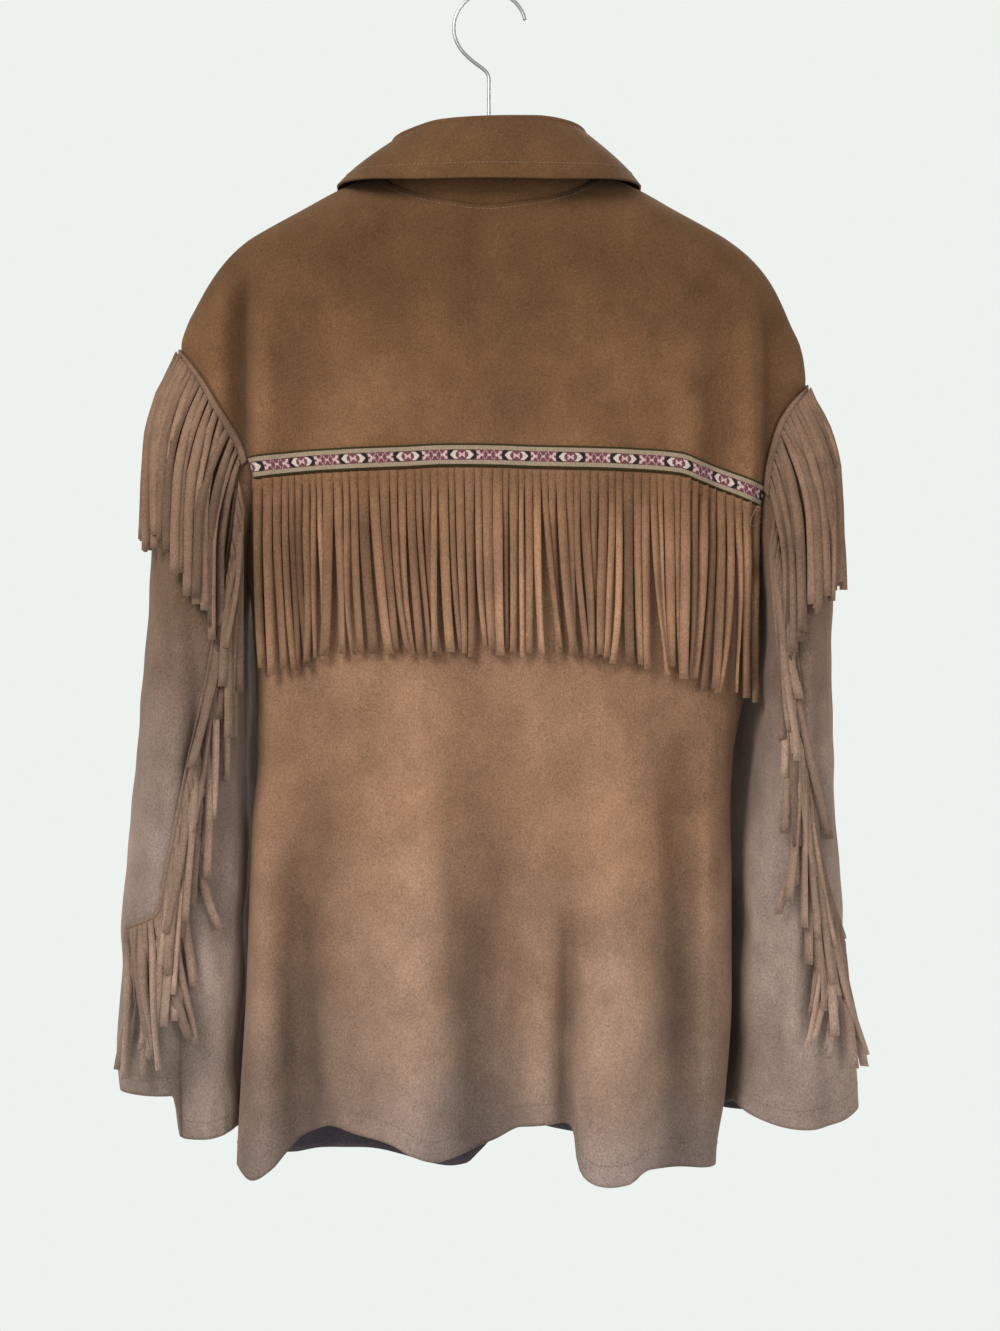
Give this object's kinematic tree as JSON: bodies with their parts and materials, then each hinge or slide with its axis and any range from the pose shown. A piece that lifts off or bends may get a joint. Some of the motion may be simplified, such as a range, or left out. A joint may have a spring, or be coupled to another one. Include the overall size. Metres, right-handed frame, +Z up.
{
  "type": "fringe jacket on a hanger",
  "caption": "Brown suede-look shirt jacket with collar, woven braid over the back yoke seam and long fringe on back, armholes and sleeves, on a plain hanger.",
  "frame": {"origin": "top of the inner curve of the hanger's hook, where a rod carries it", "axes": "+Z up, the jacket's back faces -Y and its front +Y, +X towards the wearer's right"},
  "size_m": [0.5871, 0.16, 0.945],
  "materials": {
    "suede": "brushed suede-look nap",
    "braid": "woven band",
    "buttons": "satin",
    "hanger_bar": "clear satin",
    "hook_wire": "drawn wire"
  },
  "bodies": {
    "root": {"back_yoke": "suede", "back_body": "suede", "front_left": "suede", "front_right": "suede", "front_placket": "suede", "sleeve_left": "suede", "sleeve_right": "suede", "collar_stand": "suede", "collar_fall": "suede", "braid": "braid", "yoke_fringe": "suede", "armhole_fringe_left": "suede", "armhole_fringe_right": "suede", "sleeve_fringe_left": "suede", "sleeve_fringe_right": "suede", "hanger_bar": "hanger_bar", "hanger_hook": "hook_wire", "button_1": "buttons", "button_2": "buttons", "button_3": "buttons", "button_4": "buttons", "button_5": "buttons", "button_6": "buttons"}
  },
  "joints": []
}
